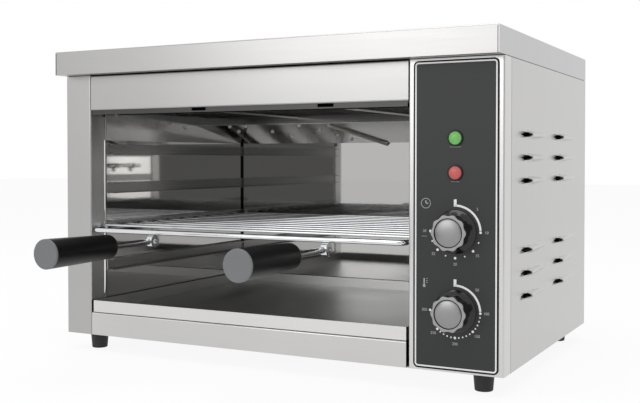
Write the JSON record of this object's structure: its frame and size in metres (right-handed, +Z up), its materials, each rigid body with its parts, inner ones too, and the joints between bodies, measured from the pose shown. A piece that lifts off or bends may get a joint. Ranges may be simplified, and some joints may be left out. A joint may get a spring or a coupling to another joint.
{
  "type": "counter-top grill toaster",
  "caption": "Small open-fronted steel grill with heat from above, a sliding wire rack with two grips, a crumb tray and a control panel with two dials and lamps.",
  "frame": {"origin": "middle of the part's bounding box, in the plane of the feet's undersides", "axes": "+X to the right as seen from the front, +Y from the open front to the back, +Z up"},
  "size_m": [0.4792, 0.479, 0.312],
  "materials": {
    "satin_stainless": "fine brushed stainless steel, satin",
    "cavity_steel": "bright rolled stainless steel, nearly mirror smooth",
    "zinc_sheet": "galvanised sheet, dull",
    "plated_steel": "bright zinc plate",
    "chromed_wire": "chromed round wire",
    "element_steel": "oxidised heater tube, matt grey",
    "ceramic": "unglazed ceramic, matt",
    "dark_overlay": "printed film, satin dark grey",
    "green_lens": "translucent green lens, gloss",
    "red_lens": "translucent red lens, gloss",
    "white_plastic": "moulded white, matt",
    "black_plastic": "moulded black, half gloss",
    "grey_plastic": "moulded dark grey, satin",
    "copper_bulb": "drawn copper, dull",
    "lead_sleeve": "woven glass sleeve, matt",
    "black_rubber": "moulded black rubber, matt"
  },
  "bodies": {
    "cabinet": {"top_cover": "satin_stainless", "left_side_panel": "satin_stainless", "right_side_panel": "satin_stainless", "rear_panel": "satin_stainless", "base_plate": "zinc_sheet", "header_rail": "satin_stainless", "lower_front_rail": "satin_stainless", "control_panel": "satin_stainless", "control_overlay": "dark_overlay", "green_lamp_lens": "green_lens", "red_lamp_lens": "red_lens", "lamp_holders": "white_plastic", "timer_body": "zinc_sheet", "thermostat_body": "black_plastic", "collar_nuts": "plated_steel", "cavity_left_wall": "cavity_steel", "cavity_right_wall": "cavity_steel", "cavity_rear_wall": "cavity_steel", "cavity_floor": "cavity_steel", "heater_hood": "cavity_steel", "element_straps": "cavity_steel", "front_heating_element": "element_steel", "middle_heating_element": "element_steel", "rear_heating_element": "element_steel", "element_bushes": "ceramic", "element_studs": "plated_steel", "left_rack_runners": "cavity_steel", "right_rack_runners": "cavity_steel", "thermostat_bulb": "copper_bulb", "bulb_clips": "plated_steel", "capillary_tube": "copper_bulb", "terminal_block": "white_plastic", "cable_gland": "black_plastic", "gland_nut": "black_plastic", "internal_leads": "lead_sleeve", "rubber_feet": "black_rubber", "foot_screws": "plated_steel", "foot_nuts": "plated_steel", "casing_screws": "plated_steel"},
    "grill_rack": {"rack_frame": "chromed_wire", "rack_wires": "chromed_wire", "handle_eyes": "chromed_wire", "left_handle_rod": "chromed_wire", "right_handle_rod": "chromed_wire", "left_handle_grip": "black_plastic", "right_handle_grip": "black_plastic", "left_grip_cap": "grey_plastic", "right_grip_cap": "grey_plastic"},
    "tray": {"crumb_tray": "satin_stainless"},
    "timer_dial": {"timer_spindle": "plated_steel", "timer_knob": "black_plastic", "timer_knob_cap": "grey_plastic"},
    "thermostat_dial": {"thermostat_spindle": "plated_steel", "thermostat_knob": "black_plastic", "thermostat_knob_cap": "grey_plastic"}
  },
  "joints": [
    {"name": "rack_slide", "type": "slide", "parent": "cabinet", "child": "grill_rack", "axis": [0, -1, 0], "range_m": [0, 0.3]},
    {"name": "tray_slide", "type": "slide", "parent": "cabinet", "child": "tray", "axis": [0, -1, 0], "range_m": [0, 0.3]},
    {"name": "timer_turn", "type": "hinge", "parent": "cabinet", "child": "timer_dial", "pos_m": [0.1924, -0.0865, 0.1387], "axis": [0, 1, 0], "range_deg": [0, 270]},
    {"name": "thermostat_turn", "type": "hinge", "parent": "cabinet", "child": "thermostat_dial", "pos_m": [0.1924, -0.0865, 0.0703], "axis": [0, 1, 0], "range_deg": [0, 270]}
  ]
}
